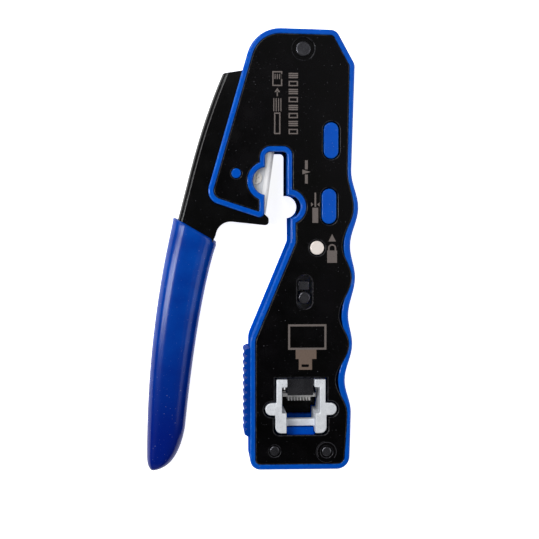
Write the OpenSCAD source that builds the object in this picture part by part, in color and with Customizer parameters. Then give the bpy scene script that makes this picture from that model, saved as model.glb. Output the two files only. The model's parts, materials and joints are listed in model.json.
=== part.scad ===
// Pocket crimping tool for modular plugs: a flat body with a plug nest at its foot,
// a cable slot in its head and a side lever that drives both. All sizes in millimetres.
// X points right, Y towards the head and Z out of the front face. Every outline is drawn
// from a point in the head, and placed() then moves that point to its place in the part.

/* [Body] */
// Thickness of the whole body over both side plates
body_t = 20; // [19:0.5:22]
// Thickness of each steel side plate
plate_t = 1.6; // [1.2:0.1:1.8]
// Width of the casing rim that shows round each side plate
rim_w = 1.77; // [1.5:0.01:2]
// Depth of the rim's edge below the face of the side plate
rim_drop = 0.3; // [0.2:0.1:0.6]
// Thickness of the casing walls
wall = 2.2; // [1.8:0.1:2.4]
// Thickness of the casing floor under each side plate
floor_t = 1.2; // [1:0.1:1.3]
// Fit gap between a side plate and the casing rim
plate_gap = 0.1; // [0.05:0.01:0.15]

/* [Cable slot] */
// Width of the cable slot
slot_w = 7.24; // [6.5:0.1:8]
// Height of the slot's closed end below the pivot
slot_top = 34.4; // [33:0.1:35]
// Radius of the relief that shows the blade
relief_r = 4.67; // [4:0.1:5]
// Radius of the stripping notch
notch_r = 3.83; // [3.2:0.1:4.2]

/* [Lever] */
// How far the lever turns from open to closed, in degrees
lever_swing = 8; // [6:0.5:8]
// Width of the lever over its two flanges
lever_w = 11; // [10:0.5:11]
// Thickness of the lever's sheet steel
lever_t = 1.5; // [1.2:0.1:1.6]
// Thickness of the vinyl sleeve
sleeve_t = 1.5; // [1.2:0.1:1.8]
// Diameter of the pivot pin
pivot_d = 4; // [3.6:0.1:4.4]
// Running clearance on the radius of pins in their bores
running = 0.05; // [0.03:0.01:0.08]

/* [Cutter] */
// Thickness of the cutter blade
blade_t = 1.2; // [1:0.1:1.3]
// Width of the blade's main bevel
bevel_w = 1.4; // [1:0.1:2]
// Width of the blade's honed edge
hone_w = 0.8; // [0.4:0.1:1]

/* [Crimp drive] */
// Distance of the drive pin from the pivot
drive_r = 8.5; // [8:0.1:8.6]
// Diameter of the drive pin
drive_d = 3; // [2.6:0.1:3.2]
// Thickness of the crimp bar
bar_t = 2.4; // [2:0.1:3]
// Wire diameter of the return spring
spring_wire = 0.7; // [0.5:0.1:0.8]
// Mean diameter of the return spring
spring_d = 4.2; // [3.8:0.1:4.4]
// Number of turns of the return spring
spring_turns = 7; // [5:1:8]

/* [Plug nest] */
// Width of the plug cavity
nest_w = 12.67; // [12:0.01:13]
// Height of the plug cavity
nest_h = 8.67; // [8:0.01:9]
// Width of the latch cavity below it
latch_w = 9.67; // [9:0.01:10]
// Radius of the ears that key the nest into the front plate
ear_r = 2.07; // [1.8:0.01:2.2]
// Fit gap between the nest and the front plate
nest_gap = 0.6; // [0.4:0.1:0.8]
// Number of contacts that the punch presses
contacts = 8; // [6:2:8]
// Spacing of the contacts
contact_pitch = 1.02; // [1:0.01:1.05]

/* [Grip pad] */
// Number of ribs on the hand pad
pad_ribs = 12; // [8:1:13]
// How far the ribs stand out from the pad
rib_r = 0.95; // [0.6:0.05:1]

/* [Hidden] */
$fn = 64;
eps = 0.01;

mid_z = body_t / 2;
casing_face = body_t - rim_drop;
plate_under = body_t - plate_t;
floor_under = plate_under - floor_t;

black = [0.05, 0.05, 0.06];
blue = [0.0, 0.3, 0.78];
dark_steel = [0.2, 0.2, 0.22];
bright_steel = [0.78, 0.79, 0.8];
zinc = [0.82, 0.83, 0.85];

// Corners of the body in order, each with its x, its y and its radius. The two ends of
// the wavy finger grip carry no radius.
slot_left = -5.33 - slot_w;
head_top = 6.5;
foot_y = -140.67;
body_corners = [
    [-17.65, foot_y, 3.4],
    [15.67, foot_y, 4.3],
    [16.1, -126, 0],
    [16.1, -40.7, 0],
    [17.17, -5.47, 3],
    [10.97, 5.83, 3.3],
    [-16.03, head_top, 11.3],
    [-32.5, -50.33, 4.6],
    [-12.87, -56.77, 1.7],
    [slot_left, -slot_top, 1.8],
    [-5.33, -slot_top, 1.3],
    [-5.33, -52, 0],
    [-4.17, -53, 0],
    [-4.17, -64.33, 1.5],
    [-17.65, -96.67, 7]
];
wave_start = 2;

// Crests and hollows of the finger grip: height, casing edge and plate edge
waves = [
    [-40.7, 16.1, 14.8],
    [-53, 18.5, 16.9],
    [-65.7, 15.8, 13.2],
    [-76.2, 17.5, 16.3],
    [-89, 15.2, 12.2],
    [-98.5, 16.6, 15.5],
    [-110.7, 14.1, 11.1],
    [-121.5, 16.2, 14.9],
    [-126, 16.1, 14.8]
];
wave_steps = 8;
casing_edge = 1;
plate_edge = 2;

relief_at = [-12, -44.1];
notch_at = [-4.67, -52.67];
notch_rim = 1.95;

// Windows in the front plate and what stands in them
oval_r = 2.5;
ovals = [[9.33, -30.67, 12], [8.67, -52.5, 11.7]];
stud_at = [-22.2, -41.6];
stud_r = 1.65;
window_gap = 0.35;
rivet_at = [[-9.5, -134.3], [8, -134.67]];
rivet_head_r = 1.72;
rivet_r = 1.2;
lock_at = [4.67, -66.33];
lock_r = 2.33;
lock_tail_r = 1.25;
guide_at = [0.55, -81];
guide_slot = [5.1, 11.3];

// Inside of the casing, and the groove along its parting line
groove = 0.2;
post_r = 3;
seat_x = 4.6;
seat_t = 2.5;
wave_reach = 17;
bar_fence_at = [-6.6, -92];
bar_fence = [2.4, 11];
punch_fence = [1.8, 6];
fence_y = -105.5;
nest_wall = 1.8;
mouth_at = [-60, -66];
mouth = [54.5, 61.6];
nose_window_at = [-6, -62.5];
nose_window = [5, 9];
slit_at = [-6, -58];
slit = [2.5, 25.2];
lock_boss_r = 4;
tail_boss_r = 3;

// Lever
pivot_at = [0, -0.55];
pivot_r = pivot_d / 2;
pivot_head_r = 2.55;
pivot_sink_r = 3.67;
lever_eye_r = 3.6;
bush_r = 2.9;
lever_front = mid_z + lever_w / 2;
lever_rear = mid_z - lever_w / 2;
grip_left = [[-43, -56], [-52.45, -95.5], [-52.45, -138]];
grip_heel = [[-52.45, -138], [-52.45, -141.7], [-49.2, -141.7]];
grip_tip = [[-49.2, -141.7], [-41.9, -140.4], [-39.5, -127.7]];
grip_right = [[-39.5, -127.7], [-35.1, -84.7], [-28.5, -64.4]];
left_steps = 14;
sleeve_w = lever_w + 2 * sleeve_t;
washer_t = floor_under - lever_front - 0.1;

// Blade, whose edge runs from edge_top to edge_foot
edge_top = [-9.13, -32.67];
edge_foot = [-12.23, -55];
edge_length = norm(edge_top - edge_foot);
edge_turn = atan2(edge_top.y - edge_foot.y, edge_top.x - edge_foot.x) - 90;
blade_back = 7;
screw_at = [[-15.67, -43], [-17.3, -51.3]];
screw_head_r = 2.2;
screw_r = 1.25;

// Crimp drive
drive_rest = 180 - lever_swing / 2;
drive_at = pivot_at + drive_r * [cos(drive_rest), sin(drive_rest)];
drop = 2 * drive_r * sin(lever_swing / 2);
bar_front = mid_z + bar_t / 2;
bar_rear = mid_z - bar_t / 2;
guide_head_r = 2.17;
guide_shank_r = 1.4;
guide_pin_at = [0.5, -83];
key_size = [3.64, 2.83];
key_at = [0.25, -78.9];
spring_at = [9, -84];
spring_length = 15;
rod_r = 1.2;
rod_length = 10;

// Plug nest
nest_x = -0.62;
nest_top = -113;
nest_foot = -128.4;
nest_rear = 4;
nest_face = body_t - 0.1;
arm_top = -110.3;
prong_outer = 16.5;
leg_outer = 17.2;
ear_y = -120.3;
ear_reach = 9.9;
punch_way = 9.1;
bridge_top = -124.35;
bridge_h = 2.4;
bridge_face = 15;
bridge_t = 3;
shelf_face = 15.5;
punch_w = 8.6;
punch_foot = -116;
punch_top = -103;
punch_front = floor_under - 0.2;
punch_rear = 4.1;
comb_base = [11.2, 1.3];
comb_h = 2.6;
comb_rear = 6.5;
comb_front = 11.5;
trim_t = 1;
trim_screw_r = 0.8;
wire_slot = [9, 2.4];

// Grip pad
pad_y = [-129.7, -100];
pad_x = -17.65;
pad_base = 0.95;
pad_z = [2.2, 17.8];

centre_x = (waves[1][casing_edge] + grip_left[2].x) / 2;
centre_y = (head_top + grip_heel[2].y) / 2;

// ---- Geometry helpers ----

function unit(v) = v / norm(v);
function left_of(v) = [-v.y, v.x];
function point(c) = [c.x, c.y];

// Corner b of a ring, moved inward by d, between its neighbours a and c
function inset_corner(a, b, c, d) =
    let (u = unit(point(b) - point(a)), v = unit(point(c) - point(b)))
    let (p = point(b) + (left_of(u) + left_of(v)) * d / (1 + u * v))
    let (convex = cross(u, v) > 0)
    [p.x, p.y, b[2] == 0 ? 0 : convex ? max(b[2] - d, 0.3) : b[2] + d];

// Points of the fillet at corner b, or the corner itself where it has no radius
function fillet(a, b, c) =
    b[2] == 0 ? [point(b)] :
    let (u = unit(point(a) - point(b)), v = unit(point(c) - point(b)))
    let (half = acos(u * v) / 2, sweep = 180 - 2 * half)
    let (centre = point(b) + unit(u + v) * b[2] / sin(half))
    let (start = point(b) + u * b[2] / tan(half) - centre)
    let (way = cross(-u, v) > 0 ? 1 : -1, steps = ceil(sweep / 10))
    [for (i = [0 : steps]) let (t = way * sweep * i / steps)
        centre + [start.x * cos(t) - start.y * sin(t), start.x * sin(t) + start.y * cos(t)]];

function ring_inset(ring, d) = let (n = len(ring))
    [for (i = [0 : n - 1]) inset_corner(ring[(i + n - 1) % n], ring[i], ring[(i + 1) % n], d)];

function ring_points(ring) = let (n = len(ring))
    [for (i = [0 : n - 1]) each fillet(ring[(i + n - 1) % n], ring[i], ring[(i + 1) % n])];

function eased(a, b, t) = a + (b - a) * (1 - cos(180 * t)) / 2;

function wave_line(column, inset) = [for (i = [len(waves) - 1 : -1 : 1])
    for (k = [0 : wave_steps - (i == 1 ? 0 : 1)]) let (t = k / wave_steps)
        [eased(waves[i][column], waves[i - 1][column], t) - inset,
            waves[i][0] + (waves[i - 1][0] - waves[i][0]) * t]];

function body_points(inset, column, wave_inset) =
    let (ring = ring_inset(body_corners, inset), n = len(ring))
    [for (i = [0 : n - 1]) each (
        i == wave_start ? wave_line(column, wave_inset) :
        i == wave_start + 1 ? [] :
        fillet(ring[(i + n - 1) % n], ring[i], ring[(i + 1) % n]))];

function bezier(p, t) = (1 - t) * (1 - t) * p[0] + 2 * t * (1 - t) * p[1] + t * t * p[2];
function bezier_line(p, steps) = [for (i = [0 : steps]) bezier(p, i / steps)];
function shifted(points, by) = [for (p = points) p + by];
function after_first(points) = [for (i = [1 : len(points) - 1]) points[i]];
function reversed(points) = [for (i = [len(points) - 1 : -1 : 0]) points[i]];

module placed() { translate([-centre_x, -centre_y, 0]) children(); }
module slab(z0, z1) { translate([0, 0, z0]) linear_extrude(z1 - z0) children(); }
module disc(at, r, z0, z1) { translate([at.x, at.y, z0]) cylinder(h = z1 - z0, r = r); }
module rear_side() { translate([0, 0, body_t]) mirror([0, 0, 1]) children(); }

module oval(at, w, length) {
    translate(at) {
        for (s = [-1, 1]) translate([0, s * (length - w) / 2]) circle(d = w);
        square([w, length - w], center = true);
    }
}

// Straight-sided box about a centre line in the front view
module block(x, y, size, z0, z1) {
    translate([x - size.x / 2, y, z0]) cube([size.x, size.y, z1 - z0]);
}

// ---- Body outlines ----

module body_2d(inset, column, wave_inset, notch_grow) {
    difference() {
        polygon(body_points(inset, column, wave_inset));
        translate(relief_at) circle(r = relief_r + notch_grow);
        translate(notch_at) circle(r = notch_r + notch_grow, $fn = 96);
    }
}

module casing_2d() { body_2d(0, casing_edge, 0, 0); }
module plate_2d(gap) { body_2d(rim_w + gap, plate_edge, gap, notch_rim + gap); }
module parting_2d() { body_2d(groove, casing_edge, groove, groove); }
module cavity_2d() { body_2d(wall, casing_edge, wall, wall); }

// Outline of the plug nest, grown by a gap
module nest_2d(gap) {
    prong = prong_outer / 2 + gap;
    leg = leg_outer / 2 + gap;
    foot_r = 2;
    translate([nest_x, 0]) {
        translate([-prong, nest_foot + 5]) square([2 * prong, arm_top + gap - nest_foot - 5]);
        translate([-leg + foot_r, nest_foot - gap]) square([2 * (leg - foot_r), 6]);
        translate([-leg, nest_foot - gap + foot_r]) square([2 * leg, 6]);
        for (s = [-1, 1]) {
            translate([s * (leg - foot_r), nest_foot - gap + foot_r]) circle(r = foot_r);
            translate([s * ear_reach, ear_y]) circle(r = ear_r + gap);
        }
        translate([-ear_reach, ear_y - ear_r - gap]) square([2 * ear_reach, 2 * (ear_r + gap)]);
    }
}

// ---- Body ----

module plate_holes(z0, z1) {
    disc(pivot_at, pivot_r + running, z0, z1);
    for (at = rivet_at) disc(at, rivet_r, z0, z1);
    for (o = ovals) slab(z0, z1) oval([o.x, o.y], 2 * (oval_r + window_gap), o[2] + 2 * window_gap);
    disc(stud_at, stud_r + window_gap / 2, z0, z1);
}

// Round sinks that take the rivet heads
module head_sinks() {
    disc(pivot_at, pivot_sink_r, body_t - 0.9, body_t + eps);
    for (at = rivet_at) disc(at, rivet_head_r + 0.25, body_t - 0.7, body_t + eps);
}

module side_plate() {
    difference() {
        slab(plate_under, body_t) plate_2d(plate_gap);
        plate_holes(plate_under - eps, body_t + eps);
        head_sinks();
    }
}

module front_plate() placed() color(black) difference() {
    side_plate();
    slab(plate_under - eps, body_t + eps) nest_2d(nest_gap);
    slab(plate_under - eps, body_t + eps) oval(guide_at, guide_slot.x, guide_slot.y);
    disc(lock_at, lock_r + 0.4, plate_under - eps, body_t + eps);
}

module rear_plate() placed() color(black) difference() {
    rear_side() side_plate();
    disc(lock_at, 1.6, -eps, plate_t + eps);
    // Slot where the wires come out behind the plug
    block(nest_x, -116.4, wire_slot, -eps, plate_t + eps);
}

// Ribs inside the casing that hold and guide the moving pieces
module casing_ribs_2d() {
    for (at = rivet_at) translate(at) circle(r = post_r);
    // Seat under the return spring
    translate([seat_x, spring_at.y - spring_length - seat_t]) square([wave_reach - seat_x, seat_t]);
    // Fences that keep the crimp bar and the punch in line
    translate(bar_fence_at) square(bar_fence);
    for (s = [-1, 1]) translate([nest_x + s * (punch_w + punch_fence.x) / 2 + s * 0.2, fence_y])
        square(punch_fence, center = true);
    nest_2d(nest_wall);
}

// Front half of the casing, before its own holes
module casing_half() {
    difference() {
        union() {
            slab(mid_z + groove, casing_face) difference() { casing_2d(); cavity_2d(); }
            slab(mid_z, mid_z + groove) difference() { parting_2d(); cavity_2d(); }
            slab(floor_under, plate_under) casing_2d();
            slab(mid_z, floor_under) intersection() { casing_2d(); casing_ribs_2d(); }
        }
        slab(plate_under, body_t) plate_2d(0);
        disc(pivot_at, pivot_r + running, mid_z, body_t);
        for (at = rivet_at) disc(at, rivet_r, mid_z - eps, body_t);
        slab(mid_z - eps, floor_under) {
            // Mouth that the lever swings in and out of
            translate(mouth_at) square(mouth);
            // Way for the punch into the nest
            translate([nest_x - punch_w / 2 - 0.2, nest_top - 1]) square([punch_w + 0.4, 12]);
            // Window that the lever's nose enters when closed
            translate(nose_window_at) square(nose_window);
        }
    }
    for (o = ovals) slab(plate_under - eps, body_t - 0.5) oval([o.x, o.y], 2 * oval_r, o[2]);
    disc(stud_at, stud_r, plate_under - eps, body_t - 0.3);
}

module shelf_2d() {
    translate([nest_x - latch_w / 2 + 0.3, nest_foot - 1])
        square([latch_w - 0.6, bridge_top - bridge_h - nest_foot + 0.7]);
}

module front_casing() placed() color(blue) difference() {
    union() {
        casing_half();
        disc(lock_at, lock_boss_r, bar_front + 0.4, floor_under + eps);
    }
    disc(lock_at, lock_r + running, mid_z, body_t);
    slab(mid_z, plate_under + eps) oval(guide_at, guide_slot.x + 0.6, guide_slot.y + 0.6);
    // Seat of the nest, with a shelf between the nest's legs
    slab(mid_z, plate_under + eps) difference() { nest_2d(0.2); shelf_2d(); }
    slab(shelf_face, plate_under + eps) shelf_2d();
    // Slit in the slot's far wall that the blade closes into
    slab(lever_front - 0.2, floor_under) translate(slit_at) square(slit);
}

module rear_casing() placed() color(blue) difference() {
    union() {
        rear_side() casing_half();
        disc(lock_at, tail_boss_r, plate_t, bar_rear - 0.4);
        slab(plate_t, nest_rear) nest_2d(0);
    }
    disc(lock_at, lock_tail_r + running, -eps, mid_z);
    slab(nest_rear, mid_z + eps) nest_2d(0.2);
    slab(-eps, nest_rear + eps) nest_void_2d();
    slab(plate_t + floor_t, nest_rear + eps) translate([nest_x - 6, -117]) square([12, 12]);
}

module grip_pad() placed() color(blue) {
    length = pad_y[1] - pad_y[0];
    pitch = length / pad_ribs;
    translate([pad_x - pad_base, pad_y[0], pad_z[0]])
        cube([pad_base, length, pad_z[1] - pad_z[0]]);
    for (i = [0 : pad_ribs - 1])
        disc([pad_x - pad_base, pad_y[0] + (i + 0.5) * pitch], rib_r, pad_z[0], pad_z[1]);
}

module pivot_pin() placed() color(dark_steel) {
    disc(pivot_at, pivot_r, 0.1, body_t - 0.1);
    for (z = [0.1, body_t - 0.9]) disc(pivot_at, pivot_head_r, z, z + 0.8);
}

// Sleeve between the flanges, which the crimp bar passes on its way down
module pivot_bush() placed() color(bright_steel) difference() {
    disc(pivot_at, bush_r, lever_rear + lever_t + 0.1, lever_front - lever_t - 0.1);
    disc(pivot_at, pivot_r, 0, body_t);
}

module pivot_washers() placed() color(bright_steel) difference() {
    union() {
        disc(pivot_at, lever_eye_r, lever_front + 0.05, lever_front + 0.05 + washer_t);
        disc(pivot_at, lever_eye_r, lever_rear - 0.05 - washer_t, lever_rear - 0.05);
    }
    disc(pivot_at, pivot_r, 0, body_t);
}

module lower_rivets() placed() color(dark_steel) for (at = rivet_at) {
    disc(at, rivet_r, 0.15, body_t - 0.15);
    for (z = [0.15, body_t - 0.7]) disc(at, rivet_head_r, z, z + 0.55);
}

// ---- Plug nest ----

// Open shape of the nest: plug cavity, latch cavity and the way for the punch
module nest_void_2d() {
    translate([nest_x, nest_top - nest_h / 2]) square([nest_w, nest_h], center = true);
    translate([nest_x - latch_w / 2, bridge_top]) square([latch_w, nest_top - bridge_top]);
    translate([nest_x - punch_way / 2, nest_top - 1]) square([punch_way, 5]);
}

module die_block() placed() color(zinc) difference() {
    slab(nest_rear, nest_face) nest_2d(0);
    slab(nest_rear - eps, body_t) nest_void_2d();
    // Open foot between the legs, behind which the bridge joins them
    block(nest_x, nest_foot - 1, [latch_w, 6], bridge_face, body_t);
    block(nest_x, nest_foot - 1, [latch_w, bridge_top - bridge_h - nest_foot + 1],
        nest_rear - eps, body_t);
    // Room under the bridge
    block(nest_x, nest_foot - 1, [latch_w, bridge_top - nest_foot + 1.5],
        nest_rear - eps, bridge_face - bridge_t);
}

// ---- Lock ----

module lock_pin() placed() color(bright_steel) {
    disc(lock_at, lock_r, bar_front + 3, body_t - 0.1);
    disc(lock_at, lock_tail_r, 2.3, bar_front + 3);
}

// Split ring in the casing that grips the plunger's shank
module lock_ring() placed() color(dark_steel) difference() {
    disc(lock_at, lock_r + running, bar_front + 0.5, bar_front + 0.9);
    disc(lock_at, lock_tail_r + running, 0, body_t);
}

// ---- Lever ----

// The sleeve's ring: down its outer edge, round the tip and back up its inner edge
sleeve_ring = [for (p = concat(
    bezier_line(grip_left, left_steps),
    after_first(bezier_line(grip_heel, 4)),
    after_first(bezier_line(grip_tip, 8)),
    after_first(bezier_line(grip_right, 10)))) [p.x, p.y, 0]];
handle_ring = ring_inset(sleeve_ring, sleeve_t);

// The fold along the lever's back, from its tail to the sleeve
fold = bezier_line([[-26.57, -8.3], [-32.73, -22.5], [-37.3, -40]], 8);

// The lever's ring: its head and tail, the handle in the sleeve, then the arch, the nose
// and the edge that backs the blade
lever_ring = concat([
    [-2.5, 3, 0],
    [-20.17, -7.27, 1.5]
], [for (p = fold) [p.x, p.y, 0]], handle_ring, [
    [-29, -62.3, 0],
    [-27.9, -57.2, 5],
    [-11.2, -59, 1.2],
    [-11.2, -56.4, 1],
    [-14.2, -53.5, 0.8],
    [-12.8, -34, 6],
    [2.5, -3, 0]
]);

// Outer edge of the folded sheet, from above the tail to the tip
lever_back = concat([fold[0] + (fold[0] - fold[1])], after_first(fold),
    [for (i = [0 : left_steps]) point(handle_ring[i])]);

module lever_2d() {
    polygon(ring_points(lever_ring));
    translate(pivot_at) circle(r = lever_eye_r);
}

module lever() placed() color(black) difference() {
    union() {
        slab(lever_rear, lever_rear + lever_t) lever_2d();
        slab(lever_front - lever_t, lever_front) lever_2d();
        slab(lever_rear, lever_front) intersection() {
            lever_2d();
            polygon(concat(shifted(lever_back, [-1, 0]), reversed(shifted(lever_back, [lever_t, 0]))));
        }
    }
    disc(pivot_at, pivot_r + running, 0, body_t);
    disc(drive_at, drive_d / 2, 0, body_t);
    for (at = screw_at) disc(at, screw_r, mid_z, body_t);
}

// Sleeve with its long edges stepped in towards both faces
module lever_grip() placed() color(blue) difference() {
    for (step = [[0, 1.4], [0.45, 0.55], [1.2, 0]])
        slab(mid_z - sleeve_w / 2 + step[1], mid_z + sleeve_w / 2 - step[1])
            polygon(ring_points(ring_inset(sleeve_ring, step[0])));
    slab(lever_rear, lever_front) lever_2d();
}

// Blade section runs back from the honed edge, and is drawn out along that edge
module cutter_blade() placed() color(bright_steel) difference() {
    translate([edge_foot.x, edge_foot.y, lever_front]) rotate([0, 0, edge_turn])
        translate([0, edge_length, 0]) rotate([90, 0, 0]) linear_extrude(edge_length)
            polygon([[-blade_back, 0], [0, 0], [-hone_w, blade_t * 0.45],
                [-hone_w - bevel_w, blade_t], [-blade_back, blade_t]]);
    for (at = screw_at) disc(at, screw_r, lever_front - eps, body_t);
}

module blade_screws() placed() color(dark_steel) for (at = screw_at) difference() {
    union() {
        disc(at, screw_r, lever_front - lever_t, lever_front + blade_t);
        disc(at, screw_head_r, lever_front + blade_t, lever_front + blade_t + 0.4);
    }
    // Cross recess
    for (turn = [0, 90]) translate([at.x, at.y, lever_front + blade_t + 0.15])
        rotate([0, 0, turn]) translate([-1.3, -0.25, 0]) cube([2.6, 0.5, 1]);
}

module drive_pin() placed() color(dark_steel)
    disc(drive_at, drive_d / 2, lever_rear, lever_front);

// ---- Crimp drive ----

bar_ring = [
    [-10.9, -1.6, 1.5],
    [-4.4, -9.4, 3],
    [3.3, -14.5, 5],
    [3.3, -73.5, 3],
    [-4, -76.5, 2],
    [-4, -92, 1],
    [-3.4, -94, 1],
    [-3.4, -109, 0],
    [2.2, -109, 0],
    [2.2, -94, 1],
    [4.3, -91, 1],
    [4.3, spring_at.y, 1],
    [12.3, spring_at.y, 0.8],
    [12.3, -7, 3.5],
    [3, -4, 3],
    [-3.6, -4, 2],
    [-6, 1.5, 0]
];

module crimp_bar() placed() color(dark_steel) difference() {
    union() {
        slab(bar_rear, bar_front) polygon(ring_points(bar_ring));
        disc(drive_at, 2.8, bar_rear, bar_front);
    }
    // Level slot that the drive pin slides in as it swings
    slab(bar_rear - eps, bar_front + eps) translate(drive_at)
        rotate(90) oval([0, 0], drive_d + 2 * running, drive_d + 2 * running + 0.6);
    // Window round the lock plunger
    slab(bar_rear - eps, bar_front + eps)
        oval([lock_at.x, lock_at.y + drop / 2], 3.2, 3.2 + drop + 1);
    disc(guide_pin_at, guide_shank_r, 0, body_t);
    disc([nest_x, punch_top - 3], 1, 0, body_t);
}

module guide_pin() placed() color(dark_steel) {
    disc(guide_pin_at, guide_shank_r, bar_rear, bar_front);
    disc(guide_pin_at, guide_head_r, bar_front, body_t - 0.9);
}

module guide_key() placed() color(dark_steel)
    block(key_at.x, key_at.y - key_size.y / 2, key_size, bar_front, body_t - 1.2);

module punch_holder() placed() color(dark_steel) difference() {
    block(nest_x, punch_foot, [punch_w, punch_top - punch_foot], punch_rear, punch_front);
    block(nest_x, -109, [6.4, 20], bar_rear, bar_front);
    disc([nest_x, punch_top - 3], 1, 0, body_t);
    for (s = [-1, 1]) disc(trim_screw_at(s), trim_screw_r, punch_rear - eps, punch_rear + 2);
}

function trim_screw_at(s) = [nest_x + s * 3, punch_foot + 4];

// Comb of narrow teeth, one to each contact, under a wider bar
module contact_punch() placed() color(bright_steel) difference() {
    union() {
        block(nest_x, punch_foot - comb_base.y, comb_base, comb_rear, comb_front);
        block(nest_x, punch_foot - comb_h, [punch_w, comb_h], comb_rear, comb_front);
    }
    for (i = [0 : contacts]) block(nest_x + (i - contacts / 2) * contact_pitch,
        punch_foot - comb_h - eps, [contact_pitch * 0.5, 1.2], comb_rear - eps, comb_front + eps);
}

module punch_pin() placed() color(bright_steel)
    disc([nest_x, punch_top - 3], 1, punch_rear + 1.1, punch_front - 1.1);

module trim_blade() placed() color(bright_steel) difference() {
    block(nest_x, punch_foot + 1, [punch_w, 6], punch_rear - trim_t, punch_rear);
    for (s = [-1, 1]) disc(trim_screw_at(s), trim_screw_r, 0, body_t);
}

module trim_screws() placed() color(dark_steel) for (s = [-1, 1])
    disc(trim_screw_at(s), trim_screw_r, punch_rear - trim_t, punch_rear + 1.9);

// Coil swept as a tube of straight rings along a helix
function coil_centre(t) = [spring_d / 2 * cos(360 * spring_turns * t),
    -spring_wire / 2 - (spring_length - spring_wire) * t,
    spring_d / 2 * sin(360 * spring_turns * t)];

module return_spring() placed() color(bright_steel) {
    steps = spring_turns * 14;
    sides = 6;
    rings = [for (i = [0 : steps]) let (t = i / steps, turn = 360 * spring_turns * t)
        let (c = coil_centre(t), out = [cos(turn), 0, sin(turn)])
        for (k = [0 : sides - 1]) let (a = 360 * k / sides)
            c + spring_wire / 2 * (cos(a) * out + sin(a) * [0, 1, 0])];
    sides_faces = [for (i = [0 : steps - 1]) for (k = [0 : sides - 1])
        let (a = i * sides + k, b = i * sides + (k + 1) % sides)
        each [[a, b, b + sides], [a, b + sides, a + sides]]];
    caps = [[for (k = [sides - 1 : -1 : 0]) k], [for (k = [0 : sides - 1]) steps * sides + k]];
    translate([spring_at.x, spring_at.y, mid_z]) polyhedron(rings, concat(sides_faces, caps));
}

module spring_rod() placed() color(dark_steel)
    translate([spring_at.x, spring_at.y - spring_length, mid_z]) rotate([-90, 0, 0])
        cylinder(h = rod_length, r = rod_r);

front_plate();
rear_plate();
front_casing();
rear_casing();
grip_pad();
pivot_pin();
pivot_bush();
pivot_washers();
lower_rivets();
die_block();
lock_pin();
lock_ring();
lever();
lever_grip();
cutter_blade();
blade_screws();
drive_pin();
crimp_bar();
guide_pin();
guide_key();
punch_holder();
contact_punch();
punch_pin();
trim_blade();
trim_screws();
return_spring();
spring_rod();
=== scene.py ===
"""Looks of the crimping tool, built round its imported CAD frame.

Sizes written in millimetres are scaled by MM, and everything else is in metres. X points
right, Y towards the tool's head and Z out of its front face.
"""

import json
import math

import bmesh
import bpy
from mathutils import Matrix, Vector


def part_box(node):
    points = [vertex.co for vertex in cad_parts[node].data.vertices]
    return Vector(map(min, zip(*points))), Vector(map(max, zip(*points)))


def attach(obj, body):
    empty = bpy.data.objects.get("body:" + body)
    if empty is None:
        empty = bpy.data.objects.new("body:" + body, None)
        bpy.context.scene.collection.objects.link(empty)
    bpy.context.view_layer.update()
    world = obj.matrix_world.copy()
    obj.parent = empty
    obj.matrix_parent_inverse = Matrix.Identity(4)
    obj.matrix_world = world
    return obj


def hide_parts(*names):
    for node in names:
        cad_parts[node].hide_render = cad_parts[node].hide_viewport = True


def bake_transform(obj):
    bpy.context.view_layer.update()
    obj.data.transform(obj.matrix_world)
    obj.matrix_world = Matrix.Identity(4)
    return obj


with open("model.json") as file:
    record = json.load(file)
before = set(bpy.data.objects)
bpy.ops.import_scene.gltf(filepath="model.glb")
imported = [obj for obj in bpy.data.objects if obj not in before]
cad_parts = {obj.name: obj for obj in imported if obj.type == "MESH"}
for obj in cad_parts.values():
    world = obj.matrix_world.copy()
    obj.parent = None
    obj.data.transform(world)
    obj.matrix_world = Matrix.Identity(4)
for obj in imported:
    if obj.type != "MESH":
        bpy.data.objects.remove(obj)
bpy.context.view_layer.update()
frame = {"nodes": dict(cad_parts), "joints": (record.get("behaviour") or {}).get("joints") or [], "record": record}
NODES = frame["nodes"]
SUBPARTS = frame["record"]["subparts"]
SLOT_OF = {part["node"]: part["material_slot"] for part in SUBPARTS}
BODIES = frame["record"]["behaviour"]["bodies"]
BODY_OF = {node: body for body, nodes in BODIES.items() for node in nodes}
MM = 0.001
PIVOT = Vector(next(j for j in frame["joints"] if j["name"] == "lever_hinge")["pos_m"])
# The point in the head that the design's outlines are drawn from, just above the pivot
HEAD = PIVOT + Vector((0, 0.55 * MM, 0))
FACE_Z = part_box("front_plate")[1].z
MID_Z = FACE_Z / 2
# Points closer than this are merged, and so are faces that meet at less than this angle
WELD_DISTANCE = 0.002 * MM
FLAT_ANGLE = math.radians(0.6)


def spot(x, y, z=0.0):
    """A point given in mm: x and y from the head point, and z from the rear face."""
    return Vector((HEAD.x + x * MM, HEAD.y + y * MM, z * MM))


# ---- Materials ----


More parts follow.
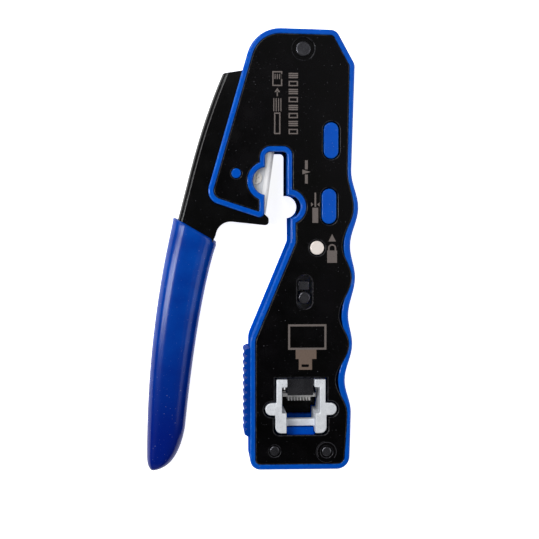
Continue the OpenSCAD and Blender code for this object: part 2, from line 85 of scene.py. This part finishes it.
class Graph:
    """A small builder for node materials. An input is a constant or another node's socket."""

    def __init__(self, name):
        self.material = bpy.data.materials.new(name)
        self.material.use_nodes = True
        self.tree = self.material.node_tree
        self.tree.nodes.clear()
        self.place = self.add("TexCoord").outputs["Object"]

    def add(self, kind, settings=None, **inputs):
        node = self.tree.nodes.new("ShaderNode" + kind)
        for key, value in (settings or {}).items():
            setattr(node, key, value)
        for key, value in inputs.items():
            self.set(node, key.replace("_", " "), value)
        return node

    def set(self, node, key, value):
        """Feeds an input, named by its label, or by i and its number where labels repeat."""
        numbered = key[0] == "i" and key[1:].isdigit()
        self.feed(node.inputs[int(key[1:])] if numbered else node.inputs[key], value)

    def feed(self, socket, value):
        """Links a socket to another node's, or sets it to a constant."""
        if isinstance(value, bpy.types.NodeSocket):
            self.tree.links.new(value, socket)
        else:
            socket.default_value = value

    def noise(self, size, detail=3.0, rough=0.5, stretch=None):
        """Noise whose patches are about size mm across."""
        place = self.place
        if stretch:
            place = self.add("Mapping", Vector=place, Scale=stretch).outputs["Vector"]
        return self.add(
            "TexNoise", Vector=place, Scale=1 / (size * MM), Detail=detail, Roughness=rough
        ).outputs["Fac"]

    def ranged(self, value, low, high, start=0.3, end=0.7):
        """Low where value is at start, high where it is at end, and clamped outside them."""
        return self.add(
            "MapRange", Value=value, From_Min=start, From_Max=end, To_Min=low, To_Max=high
        ).outputs["Result"]

    def mix(self, factor, a, b):
        """From a, where factor is zero, to b, where it is one."""
        return self.add("Mix", {"data_type": "RGBA"}, i0=factor, i6=a, i7=b).outputs[2]

    def times(self, a, b):
        return self.add("Math", {"operation": "MULTIPLY"}, i0=a, i1=b).outputs[0]

    def bump(self, height, depth, strength, under=None):
        """Relief of about depth mm, on top of the relief under."""
        node = self.add("Bump", Height=height, Distance=depth * MM, Strength=strength)
        if under is not None:
            self.set(node, "Normal", under)
        return node.outputs["Normal"]

    def leaning(self):
        """One on faces that lean, such as rounded and ground edges, and zero on the rest."""
        normal = self.add("NewGeometry").outputs["True Normal"]
        z = self.add("SeparateXYZ", Vector=normal).outputs["Z"]
        lean = self.add("Math", {"operation": "ABSOLUTE"}, i0=z).outputs[0]
        off_upright = self.ranged(lean, 0, 1, 0.05, 0.3)
        off_level = self.ranged(lean, 1, 0, 0.95, 0.99)
        return self.times(off_upright, off_level)

    def edge_wear_and_highlight(self, colour, worn, low, high):
        """Shows worn on leaning faces in patches, mixed in by low to high: rubbed wear and painted edge
        highlights.
        """
        patches = self.ranged(self.noise(1.6, 5, 0.7), low, high, 0.4, 0.62)
        return self.mix(self.times(patches, self.leaning()), colour, worn)

    def finish(self, **inputs):
        """The finished material, whose shader has these inputs."""
        shader = self.add("BsdfPrincipled", **inputs)
        output = self.add("OutputMaterial")
        self.tree.links.new(shader.outputs[0], output.inputs[0])
        return self.material


def rgb(r, g, b):
    """An sRGB colour of 0 to 255 as linear light."""
    parts = [v / 255 for v in (r, g, b)]
    return tuple(v / 12.92 if v < 0.04045 else ((v + 0.055) / 1.055) ** 2.4 for v in parts) + (1,)


def moulded(
    name,
    deep,
    light,
    *,
    rough,
    grain_size,
    grain_depth,
    dust,
    coat=0.0,
    specular=0.0,
    painted_shade_tip=None,
    edge=None,
):
    """Plastic or rubber: faint flow marks, fine grain, handling marks and a little dust.

    Its colour lies between deep and light. Towards its low end it darkens to the colour tip,
    a painted shade. Rounded edges can be lightened to the colour edge, a painted highlight.
    """
    g = Graph(name)
    colour = g.mix(g.ranged(g.noise(9, 4), 0, 1), deep, light)
    if painted_shade_tip:
        along = g.add("SeparateXYZ", Vector=g.place).outputs["Y"]
        # Painted shade: the skin darkens from plain_y down to darkest_y
        darkest_y, plain_y = -62 * MM, -12 * MM
        colour = g.mix(g.ranged(along, 1, 0, darkest_y, plain_y), colour, painted_shade_tip)
    # Painted highlight: rounded edges turn lighter in patches
    if edge:
        colour = g.edge_wear_and_highlight(colour, edge, 0.0, 0.4)
    speck = g.ranged(g.noise(0.55, 2, 0.4), 0, dust, 0.7, 0.78)
    colour = g.mix(speck, colour, rgb(170, 180, 195))
    smear = g.noise(6, 6, 0.65, (1, 0.35, 1))
    grain = g.bump(g.noise(grain_size, 3), grain_depth, 0.5)
    waves = g.bump(g.noise(4, 2), 0.02, 0.35, grain)
    return g.finish(
        Base_Color=colour,
        Roughness=g.ranged(smear, rough * 0.85, rough * 1.3),
        Normal=waves,
        Specular_IOR_Level=specular,
        Coat_Weight=coat,
        Coat_Roughness=rough * 0.5,
    )


def painted(name, deep, light, *, rough, specular, worn):
    """Powder coat: orange peel, faint cloudiness, fine rubs and specks of dust.

    worn is how much grey shows along its edges: paint rubbed thin, and a painted highlight there.
    """
    g = Graph(name)
    colour = g.mix(g.ranged(g.noise(14, 5, 0.6), 0, 1), deep, light)
    rub = g.ranged(g.noise(1.2, 6, 0.7, (1, 0.12, 1)), 0, 0.08, 0.62, 0.8)
    colour = g.mix(rub, colour, rgb(58, 58, 64))
    speck = g.ranged(g.noise(0.42, 2, 0.4), 0, 0.5, 0.735, 0.8)
    colour = g.mix(speck, colour, rgb(120, 120, 126))
    # Grey on the leaning edge faces: rubbed paint, and a painted highlight where the broken edges catch the light
    colour = g.edge_wear_and_highlight(colour, rgb(74, 74, 80), 0.1 * worn, worn)
    peel = g.bump(g.noise(0.5, 2), 0.015, 0.45)
    return g.finish(
        Base_Color=colour,
        Roughness=g.ranged(g.noise(7, 6, 0.65), rough * 0.8, rough * 1.25),
        Normal=g.bump(g.noise(3.5, 2), 0.02, 0.3, peel),
        Specular_IOR_Level=specular,
    )


def ground(name, dark, light, *, rough, stretch, metallic=1.0, anisotropic=0.3, edge=None):
    """Ground or drawn steel: fine lines along one direction, tarnish and small scratches.

    A ground bevel can have its own colour, given as edge, which paints a highlight on it.
    """
    g = Graph(name)
    lines = g.noise(0.35, 4, 0.6, stretch)
    tarnish = g.noise(3.2, 5, 0.6)
    colour = g.mix(g.ranged(tarnish, 0, 0.7), light, dark)
    colour = g.mix(g.ranged(lines, 0, 0.35), colour, dark)
    # Painted highlight on the leaning faces of a ground bevel
    if edge:
        colour = g.mix(g.leaning(), colour, edge)
    worn = g.bump(g.noise(1.4, 5, 0.7), 0.01, 0.3)
    return g.finish(
        Base_Color=colour,
        Metallic=metallic,
        Roughness=g.ranged(g.mix(0.5, lines, tarnish), rough * 0.7, rough * 1.35),
        Normal=g.bump(lines, 0.008, 0.5, worn),
        Anisotropic=anisotropic,
    )


def cast(name):
    """Die-cast zinc: mottled skin, small pits and darker specks."""
    g = Graph(name)
    colour = g.mix(g.ranged(g.noise(2.2, 5, 0.6), 0, 1), rgb(222, 226, 232), rgb(240, 243, 248))
    pits = g.ranged(g.noise(0.45, 3, 0.6), 0, 0.7, 0.6, 0.72)
    colour = g.mix(pits, colour, rgb(160, 164, 173))
    skin = g.bump(g.noise(0.7, 4, 0.6), 0.05, 0.6)
    return g.finish(
        Base_Color=colour,
        Metallic=0.35,
        Roughness=g.ranged(g.noise(1.6, 4), 0.42, 0.62),
        Normal=g.bump(pits, -0.03, 0.6, skin),
    )


def ink(name, colour, thin):
    """Pad-printed ink that the black shows through in places."""
    g = Graph(name)
    gap = g.ranged(g.noise(0.35, 4, 0.7), 0, 0.55, 0.5, 0.75)
    return g.finish(
        Base_Color=g.mix(gap, colour, thin),
        Roughness=g.ranged(g.noise(0.8), 0.45, 0.65),
        Normal=g.bump(g.noise(0.2, 2), 0.004, 0.5),
        Specular_IOR_Level=0.25,
    )


# Noise stretched into lines along one axis
ALONG_Y = (1, 0.06, 1)
ALONG_Z = (1, 1, 0.06)
SLOTS = {
    "black_paint": painted(
        "black_paint", rgb(0, 0, 0), rgb(2, 1, 3), rough=0.25, specular=0.18, worn=0.6
    ),
    "black_enamel": painted(
        "black_enamel", rgb(0, 0, 0), rgb(2, 2, 3), rough=0.15, specular=0.5, worn=0.06
    ),
    "blue_plastic": moulded(
        "blue_plastic",
        rgb(0, 73, 178),
        rgb(0, 82, 191),
        rough=0.2,
        coat=0.4,
        grain_size=0.3,
        grain_depth=0.006,
        dust=0.25,
        # A lighter blue on the bead's rounded edges, a painted highlight
        edge=rgb(50, 130, 216),
    ),
    "blue_rubber": moulded(
        "blue_rubber",
        rgb(0, 54, 142),
        rgb(0, 64, 160),
        rough=0.55,
        grain_size=0.22,
        grain_depth=0.02,
        dust=0.3,
        specular=0.02,
    ),
    "blue_vinyl": moulded(
        "blue_vinyl",
        rgb(0, 50, 141),
        rgb(0, 67, 163),
        rough=0.36,
        coat=0.5,
        grain_size=0.5,
        grain_depth=0.008,
        dust=0.2,
        # Darker towards the grip's tip, a painted shade
        painted_shade_tip=rgb(0, 26, 118),
    ),
    "black_steel": ground(
        "black_steel",
        rgb(44, 44, 48),
        rgb(104, 104, 110),
        rough=0.26,
        stretch=ALONG_Z,
        metallic=0.9,
        anisotropic=0.0,
    ),
    "bright_steel": ground(
        "bright_steel",
        rgb(214, 210, 205),
        rgb(245, 243, 240),
        rough=0.4,
        stretch=ALONG_Y,
        metallic=0.15,
    ),
    "polished_steel": ground(
        "polished_steel",
        rgb(240, 226, 218),
        rgb(252, 246, 240),
        rough=0.35,
        stretch=ALONG_Z,
        metallic=0.2,
        anisotropic=0.0,
    ),
    "blade_steel": ground(
        "blade_steel",
        rgb(212, 215, 220),
        rgb(230, 233, 238),
        rough=0.3,
        stretch=ALONG_Y,
        metallic=0.12,
        # A nearly white ground bevel, a painted highlight
        edge=rgb(252, 252, 253),
    ),
    "spring_steel": ground(
        "spring_steel", rgb(92, 92, 98), rgb(140, 140, 146), rough=0.32, stretch=ALONG_Y
    ),
    "cast_zinc": cast("cast_zinc"),
}
SIDE_SKIN = {"grain_size": 0.25, "grain_depth": 0.02, "dust": 0.1}
# Side walls: a matt copy of the bead's blue, made darker as painted shade
MATT_SIDE_PAINTED_SHADE = moulded("blue_matt_side_painted_shade", rgb(0, 62, 160), rgb(0, 74, 180), rough=0.5, **SIDE_SKIN)
# Seat and shadowed slot walls: a near black blue, as painted shade
PAINTED_SHADE = moulded("blue_painted_shade", rgb(0, 6, 20), rgb(0, 10, 32), rough=0.7, **SIDE_SKIN)
INK = ink("ink", rgb(106, 98, 95), rgb(60, 56, 55))
INK_DARK = ink("ink_dark", rgb(108, 92, 82), rgb(62, 54, 50))
INK_RUBBED = ink("rubbed_paint", rgb(46, 46, 50), rgb(8, 8, 9))
for node, slot in SLOT_OF.items():
    NODES[node].data.materials.clear()
    NODES[node].data.materials.append(SLOTS[slot])


# ---- Mesh tools ----


def welded(node):
    """A CAD node's mesh as a bmesh with its points welded and its flat faces merged."""
    source = NODES[node].data
    mesh = bpy.data.meshes.new(node + "_raw")
    mesh.from_pydata([v.co for v in source.vertices], [], [p.vertices for p in source.polygons])
    bm = bmesh.new()
    bm.from_mesh(mesh)
    bpy.data.meshes.remove(mesh)
    bmesh.ops.remove_doubles(bm, verts=bm.verts, dist=WELD_DISTANCE)
    bmesh.ops.dissolve_limit(bm, angle_limit=FLAT_ANGLE, verts=bm.verts, edges=bm.edges)
    bmesh.ops.recalc_face_normals(bm, faces=bm.faces)
    return bm


def rounded(bm, edges, width, segments):
    """Rounds edges over a width in mm."""
    if edges:
        bmesh.ops.bevel(
            bm,
            geom=list(edges),
            offset=width * MM,
            offset_type="OFFSET",
            segments=segments,
            profile=0.5,
            affect="EDGES",
            clamp_overlap=False,
            loop_slide=True,
        )


def level_edges(bm, z, wanted=lambda face: True):
    """Edges at height z between a level face and an upright one that wanted(face) accepts."""
    found = []
    for edge in bm.edges:
        at_height = all(abs(v.co.z - z) <= WELD_DISTANCE for v in edge.verts)
        if len(edge.link_faces) != 2 or not at_height:
            continue
        level, upright = sorted(edge.link_faces, key=lambda f: -abs(f.normal.z))
        if abs(level.normal.z) > 0.99 and abs(upright.normal.z) < 0.1 and wanted(upright):
            found.append(edge)
    return found


def span(face, z):
    """How far a face reaches from height z, in mm."""
    return max(abs(v.co.z - z) for v in face.verts) / MM


def placed(name, data):
    """A new object in the scene."""
    obj = bpy.data.objects.new(name, data)
    bpy.context.scene.collection.objects.link(obj)
    return obj


def even_shading(obj):
    """Keeps flat faces flat in the shading beside their rounded edges."""
    weights = obj.modifiers.new("weights", "WEIGHTED_NORMAL")
    weights.keep_sharp = True


def shaped(name, bm, material):
    """A mesh piece with smooth shading on its rounded parts."""
    mesh = bpy.data.meshes.new(name)
    bmesh.ops.recalc_face_normals(bm, faces=bm.faces)
    bm.to_mesh(mesh)
    bm.free()
    mesh.shade_smooth()
    mesh.set_sharp_from_angle(angle=math.radians(38))
    mesh.materials.append(material)
    obj = placed(name, mesh)
    even_shading(obj)
    return obj


def stand_in(name, bm, node):
    """A mesh piece that stands for a CAD node and has its finish."""
    obj = shaped(name, bm, SLOTS[SLOT_OF[node]])
    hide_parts(node)
    return obj


def riding_stand_in(name, bm, node):
    """A mesh piece that stands for a CAD node and moves with its body."""
    obj = stand_in(name, bm, node)
    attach(obj, BODY_OF[node])
    return obj


def soften(node, width, segments):
    """Rounds a carried-over CAD node's edges with modifiers, leaving its vertices as they are."""
    obj = NODES[node]
    normals = obj.data.attributes.get("custom_normal")
    if normals:
        obj.data.attributes.remove(normals)
    obj.data.shade_smooth()
    weld = obj.modifiers.new("weld", "WELD")
    weld.merge_threshold = WELD_DISTANCE
    flat = obj.modifiers.new("flat", "DECIMATE")
    flat.decimate_type = "DISSOLVE"
    flat.angle_limit = FLAT_ANGLE
    bevel = obj.modifiers.new("bevel", "BEVEL")
    bevel.width = width * MM
    bevel.segments = segments
    bevel.limit_method = "ANGLE"
    bevel.angle_limit = math.radians(40)
    bevel.use_clamp_overlap = True
    even_shading(obj)


# ---- Body ----


# Material slots of a casing's side walls and of its shadowed walls, both darker blues as painted shade. Its bead
# has the first.
SIDE, SHADED = 1, 2


def casing(node, plate):
    """Casing shell whose rim is rolled over into a glossy bead round the side plate."""
    front = node == "front_casing"
    low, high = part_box(node)
    rim = high.z if front else low.z
    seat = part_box(plate)[0].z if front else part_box(plate)[1].z
    boss_drop = 0.2 * MM
    boss_top = rim - boss_drop if front else rim + boss_drop
    # The bead's outer faces reach past the plate's seat, and its inner ones end there
    depth = abs(rim - seat) / MM
    outer, inner = depth + 0.3, depth + 0.05
    bm = welded(node)
    rounded(bm, level_edges(bm, rim, lambda face: span(face, rim) > outer), 0.65, 6)
    rounded(bm, level_edges(bm, rim, lambda face: span(face, rim) < inner), 0.38, 4)
    rounded(bm, level_edges(bm, boss_top), 0.4, 4)
    # The part of the cable slot whose side walls lie in shadow, as the seat does. Both get a near black blue, a
    # painted shade.
    slot_low, slot_high = spot(-20, -58.5), spot(0.5, -33)
    for face in bm.faces:
        heights = [abs(v.co.z - rim) / MM for v in face.verts]
        level = abs(face.normal.z) > 0.9
        at = face.calc_center_median()
        in_slot = slot_low.x < at.x < slot_high.x and slot_low.y < at.y < slot_high.y
        if level and abs(min(heights) - depth) < 0.05:
            face.material_index = SHADED
        elif max(heights) > outer and not level:
            face.material_index = SHADED if in_slot and abs(face.normal.x) > 0.5 else SIDE
    shell = riding_stand_in(node + "_shell", bm, node)
    # The side walls take the darker matt blue and the seat and slot walls the near black blue, both painted shade
    shell.data.materials.append(MATT_SIDE_PAINTED_SHADE)
    shell.data.materials.append(PAINTED_SHADE)


def side_plate(node):
    """Blanked steel plate with its outer edges broken."""
    low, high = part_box(node)
    bm = welded(node)
    rounded(bm, level_edges(bm, high.z if node == "front_plate" else low.z), 0.32, 3)
    riding_stand_in(node + "_sheet", bm, node)


def headed(node, rear_round, front_round):
    """Pins and rivets whose rear and front ends are rounded over."""
    low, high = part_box(node)
    bm = welded(node)
    for z, width in ((low.z, rear_round), (high.z, front_round)):
        rounded(bm, level_edges(bm, z), width, 5)
    riding_stand_in(node + "_domed", bm, node)


casing("front_casing", "front_plate")
casing("rear_casing", "rear_plate")
side_plate("front_plate")
side_plate("rear_plate")
headed("pivot_pin", 0.5, 0.5)
headed("lower_rivets", 0.5, 0.5)
headed("guide_pin", 0.2, 0.7)
headed("lock_pin", 0.3, 0.35)

# Nodes that keep their CAD mesh, with the width in mm and the segments of their edges
SOFTENED = {
    "grip_pad": (0.3, 3),
    "die_block": (0.3, 3),
    "guide_key": (0.25, 3),
    "punch_holder": (0.25, 3),
    "contact_punch": (0.06, 2),
    "crimp_bar": (0.2, 2),
    "cutter_blade": (0.05, 2),
    "blade_screws": (0.12, 3),
    "trim_blade": (0.08, 2),
    "trim_screws": (0.12, 2),
    "drive_pin": (0.2, 2),
    "punch_pin": (0.15, 2),
    "pivot_bush": (0.1, 2),
    "pivot_washers": (0.1, 2),
    "lock_ring": (0.05, 2),
    "spring_rod": (0.2, 2),
}
for node, (width, segments) in SOFTENED.items():
    soften(node, width, segments)


# ---- Lever ----


def lever_channel():
    """Folded channel: a wide bend along its back, and broken edges elsewhere."""
    low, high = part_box("lever")
    tall = (high.z - low.z) / MM - 0.1
    # The bend stops inside the sleeve, where it isn't seen
    bend_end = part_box("lever_grip")[1].y - 12 * MM
    bm = welded("lever")
    for z in (high.z, low.z):
        back = level_edges(bm, z, lambda face: span(face, z) > tall and face.normal.x < -0.5)
        rounded(bm, [e for e in back if min(v.co.y for v in e.verts) > bend_end], 2.0, 8)
        rounded(bm, level_edges(bm, z, lambda face: span(face, z) < 2), 0.2, 2)
    riding_stand_in("lever_channel", bm, "lever")


def outline_at(node, z):
    """The longest closed loop where the plane at height z cuts a CAD node."""
    bm = welded(node)
    cut = bmesh.ops.bisect_plane(
        bm, geom=bm.verts[:] + bm.edges[:] + bm.faces[:], plane_co=(0, 0, z), plane_no=(0, 0, 1)
    )["geom_cut"]
    near = {}
    for edge in (e for e in cut if isinstance(e, bmesh.types.BMEdge)):
        for a, b in (edge.verts, reversed(edge.verts)):
            near.setdefault(a, []).append(b)
    loops = []
    while near:
        start = next(iter(near))
        loop, here, before = [], start, None
        while here is not None and here in near:
            loop.append(here.co.copy())
            after = [v for v in near.pop(here) if v is not before and v in near]
            before, here = here, after[0] if after else None
        loops.append(loop)
    bm.free()
    return max(loops, key=len)


def evenly(path, count):
    """Points spaced evenly along a path."""
    lengths = [0.0]
    for a, b in zip(path, path[1:]):
        lengths.append(lengths[-1] + (b - a).length)
    points, k = [], 0
    for i in range(count):
        want = lengths[-1] * i / (count - 1)
        while k < len(path) - 2 and lengths[k + 1] < want:
            k += 1
        share = (want - lengths[k]) / max(lengths[k + 1] - lengths[k], 1e-9)
        points.append(path[k].lerp(path[k + 1], min(max(share, 0), 1)))
    return points


def handle_sides(loop, sections):
    """The left and right sides of a sleeve's outline, as even points from its mouth to its tip."""
    count = len(loop)
    left = max(range(count), key=lambda i: loop[i].y)
    right = max(range(count), key=lambda i: loop[i].x)
    foot = min(range(count), key=lambda i: loop[i].y + 0.25 * loop[i].x)
    step = 1 if (foot - left) % count < (right - left) % count else -1

    def walk(here, way):
        path = [loop[here]]
        while here != foot:
            here = (here + way) % count
            path.append(loop[here])
        return path

    return evenly(walk(left, step), sections), evenly(walk(right, -step), sections)


def oval(a, b, half, inset, shift=0.0, power=3.0, around=48):
    """Points of a squarish oval section that spans from a to b and is 2 * half deep.

    It is drawn in by inset and moved by shift along the handle. A higher power is squarer.
    """
    across = (b - a).normalized()
    along = Vector((across.y, -across.x, 0))
    centre = (a + b) / 2 + along * shift
    wide, deep = (b - a).length / 2 - inset, half - inset
    points = []
    for k in range(around):
        turn = math.tau * k / around
        c, s = math.cos(turn), math.sin(turn)
        u = math.copysign(abs(c) ** (2 / power), c) * wide
        w = math.copysign(abs(s) ** (2 / power), s) * deep
        points.append(Vector((centre.x + across.x * u, centre.y + across.y * u, MID_Z + w)))
    return points


def lofted(rings):
    """A closed skin over rings that have the same number of points."""
    bm = bmesh.new()
    rows = [[bm.verts.new(point) for point in ring] for ring in rings]
    for one, two in zip(rows, rows[1:]):
        for k in range(len(one)):
            n = (k + 1) % len(one)
            bm.faces.new((one[k], one[n], two[n], two[k]))
    bm.faces.new(rows[0])
    bm.faces.new(rows[-1])
    return bm


def grip_sleeve():
    """Dipped vinyl sleeve: oval sections lofted down the handle, with a rolled mouth."""
    low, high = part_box("lever_grip")
    half = (high.z - low.z) / 2
    sections = 72
    # The mouth's lip turns through a half circle and stands out a little from the sleeve
    lip_r, lip_swell, lip_steps = 0.66 * MM, 0.12 * MM, 6
    tip_start = 0.93
    beside_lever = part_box("lever")[0].z - 0.05 * MM
    lefts, rights = handle_sides(outline_at("lever_grip", beside_lever), sections)
    mouth = lefts[0], rights[0]
    rings = [oval(*mouth, half, 1.5 * MM, 5 * MM), oval(*mouth, half, 1.42 * MM, 0.9 * MM)]
    for k in range(lip_steps + 1):
        turn = math.pi * k / lip_steps
        inset = 0.75 * MM + lip_r * math.cos(turn) - lip_swell
        rings.append(oval(*mouth, half, inset, 0.72 * MM - lip_r * math.sin(turn)))
    for i in range(1, sections - 1):
        t = i / (sections - 1)
        swell = lip_swell * max(0, 1 - i / 3)
        close = max(0.0, (t - tip_start) / (1 - tip_start))
        depth = half * (0.35 + 0.65 * math.sqrt(max(1 - close * close, 0.0)))
        rings.append(oval(lefts[i], rights[i], depth, -swell, power=3.0 - 0.9 * close))
    riding_stand_in("lever_sleeve", lofted(rings), "lever_grip")


lever_channel()
grip_sleeve()


# ---- Return spring, which is squeezed between the casing and the crimp bar ----


def return_coil():
    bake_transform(stand_in("return_coil", welded("return_spring"), "return_spring"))


return_coil()


# ---- Printed marks, in mm from the head point ----


def bar(x0, y0, x1, y1):
    return [(x0, y0), (x1, y0), (x1, y1), (x0, y1)]


def bars(count, x0, x1, pitch, y0, y1):
    """Bars side by side, a pitch apart."""
    return [bar(x0 + pitch * i, y0, x1 + pitch * i, y1) for i in range(count)]


def frame_of(x0, y0, x1, y1, line):
    """The four sides of an empty box."""
    return [
        bar(x0, y0, x1, y0 + line),
        bar(x0, y1 - line, x1, y1),
        bar(x0, y0 + line, x0 + line, y1 - line),
        bar(x1 - line, y0 + line, x1, y1 - line),
    ]


def arc_band(x, y, inner, outer, start, end, steps=10):
    """Blocks of a curved band between two angles in degrees."""
    turns = [math.radians(start + (end - start) * i / steps) for i in range(steps + 1)]
    return [
        [
            (x + r * math.cos(t), y + r * math.sin(t))
            for r, t in ((inner, a), (outer, a), (outer, b), (inner, b))
        ]
        for a, b in zip(turns, turns[1:])
    ]


def printed(name, shapes, material):
    """Flat ink shapes lying on the front plate."""
    ink_t, sunk = 0.012, 0.03
    top, under = FACE_Z / MM + ink_t, FACE_Z / MM - sunk
    bm = bmesh.new()
    for shape in shapes:
        lower = [bm.verts.new(spot(x, y, under)) for x, y in shape]
        upper = [bm.verts.new(spot(x, y, top)) for x, y in shape]
        bm.faces.new(lower)
        bm.faces.new(upper)
        for k in range(len(shape)):
            n = (k + 1) % len(shape)
            bm.faces.new((lower[k], lower[n], upper[n], upper[k]))
    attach(shaped(name, bm, material), "body")


def wire_order():
    """Eight wires in their order: boxes for plain ones and stripes for striped ones."""
    left, right, first, pitch, width = -4.9, -1.8, -28.7, 2.63, 1.75
    stripe, line = 0.45, 0.4
    shapes = []
    for i in range(8):
        y = first + pitch * i
        if i % 2:
            for rise in (0, width - stripe, (width - stripe) / 2):
                shapes.append(bar(left, y + rise, right, y + rise + stripe))
        else:
            shapes += frame_of(left, y, right, y + width, line)
    return shapes


def rubbed_ring():
    """Two arcs that the lower right rivet's washer has rubbed into the paint."""
    rivet = 8.0, -134.67
    return arc_band(*rivet, 3.1, 3.32, -40, 210, 30) + arc_band(*rivet, 3.55, 3.65, 100, 300, 24)


MARKS = {
    # A jacketed cable, its wires, an arrow and the plug that they go into
    "mark_cable": (
        frame_of(-9.7, -28.7, -7.6, -21.6, 0.42)
        + bars(4, -9.95, -9.62, 0.78, -21.2, -16.9)
        + [bar(-8.85, -16.2, -8.45, -14.6), [(-9.6, -14.9), (-7.7, -14.9), (-8.65, -13.5)]]
        + frame_of(-10.3, -12.9, -7.0, -8.0, 0.42)
        + bars(4, -9.55, -9.23, 0.74, -10.6, -8.9)
    ),
    "mark_wire_order": wire_order(),
    # A blade that comes down on a cable
    "mark_cut": [
        bar(0.55, -45.0, 1.5, -42.0),
        bar(0.55, -40.3, 1.5, -37.3),
        [(-0.3, -41.95), (2.4, -41.15), (-0.3, -40.35)],
    ],
    # A cable with its jacket drawn back, and two blades beside it
    "mark_strip": [
        bar(3.05, -58.0, 5.0, -53.0),
        bar(3.75, -52.7, 4.3, -48.0),
        [(2.6, -52.6), (3.35, -51.9), (2.6, -51.2)],
        [(5.4, -52.6), (4.65, -51.9), (5.4, -51.2)],
    ],
    # A padlock with an arrow head over it
    "mark_lock": (
        [bar(8.0, -71.3, 11.3, -67.2)]
        + arc_band(9.65, -66.4, 0.85, 1.35, 0, 180)
        + [bar(8.3, -67.2, 8.8, -66.4), bar(10.5, -67.2, 11.0, -66.4)]
        + [[(8.4, -64.2), (10.9, -64.2), (9.65, -61.7)]]
    ),
    # The plug's outline over the nest
    "mark_plug": frame_of(-5.0, -100.3, 7.8, -91.8, 0.67),
}
# The plug's stepped latch, with a gap near its end
LATCH = [
    bar(-2.47, -103.4, 4.47, -100.3),
    bar(-1.43, -105.2, 3.0, -103.4),
    bar(-1.43, -107.0, 3.0, -106.1),
    bar(-1.43, -106.1, -0.53, -105.2),
    bar(1.93, -106.1, 3.0, -105.2),
]
printed("rub_ring", rubbed_ring(), INK_RUBBED)
for name, shapes in MARKS.items():
    printed(name, shapes, INK)
printed("mark_latch", LATCH, INK_DARK)


# ---- Stage ----


def floor():
    """A pale floor that glows a little, like a light table."""
    g = Graph("floor")
    tone = g.mix(g.ranged(g.noise(60, 3), 0, 1), rgb(250, 250, 250), rgb(253, 253, 253))
    material = g.finish(
        Base_Color=tone,
        Roughness=0.9,
        Specular_IOR_Level=0.1,
        Emission_Color=(1, 1, 1, 1),
        Emission_Strength=0.9,
    )
    mesh = bpy.data.meshes.new("floor")
    reach = 6
    corners = [(-reach, -reach, 0), (reach, -reach, 0), (reach, reach, 0), (-reach, reach, 0)]
    mesh.from_pydata(corners, [], [(0, 1, 2, 3)])
    mesh.materials.append(material)
    obj = placed("floor", mesh)
    obj.location.z = -0.02 * MM


def softbox(name, place, width, height, power):
    """An area light at a place in mm from the middle of the tool's rear face, aimed at it."""
    data = bpy.data.lights.new(name, "AREA")
    data.shape = "RECTANGLE"
    data.size, data.size_y = width, height
    data.energy = power
    obj = placed(name, data)
    obj.location = Vector(place) * MM
    obj.rotation_euler = (-obj.location).to_track_quat("-Z", "Y").to_euler()


def surroundings():
    """A dim white world, and colours shown as they are."""
    world = bpy.data.worlds.new("studio")
    world.use_nodes = True
    background = world.node_tree.nodes["Background"]
    background.inputs["Color"].default_value = (1, 1, 1, 1)
    background.inputs["Strength"].default_value = 0.06
    bpy.context.scene.world = world
    bpy.context.scene.view_settings.view_transform = "Standard"


def camera():
    """The photograph's view: from the front, a little left of and above the tool's middle."""
    lens = bpy.data.cameras.new("camera")
    lens.sensor_width = 36
    lens.lens = 80.6827
    lens.clip_start, lens.clip_end = 0.02, 5
    obj = placed("camera", lens)
    obj.location = spot(-34, -56, 420)
    obj.rotation_euler = (-0.0436, -0.0569, 0.0)
    bpy.context.scene.camera = obj


floor()
softbox("key", (-240, 340, 340), 0.2, 0.2, 1.12)
softbox("strip", (-330, 14, 350), 0.08, 0.26, 0.95)
softbox("rim", (-150, 110, 350), 0.32, 0.06, 0.3)
softbox("front", (185, 80, 540), 0.36, 0.28, 0.11)
softbox("fill", (420, 20, 400), 0.4, 0.34, 0.85)
softbox("low", (-60, -520, 380), 0.6, 0.3, 0.2)
surroundings()
camera()
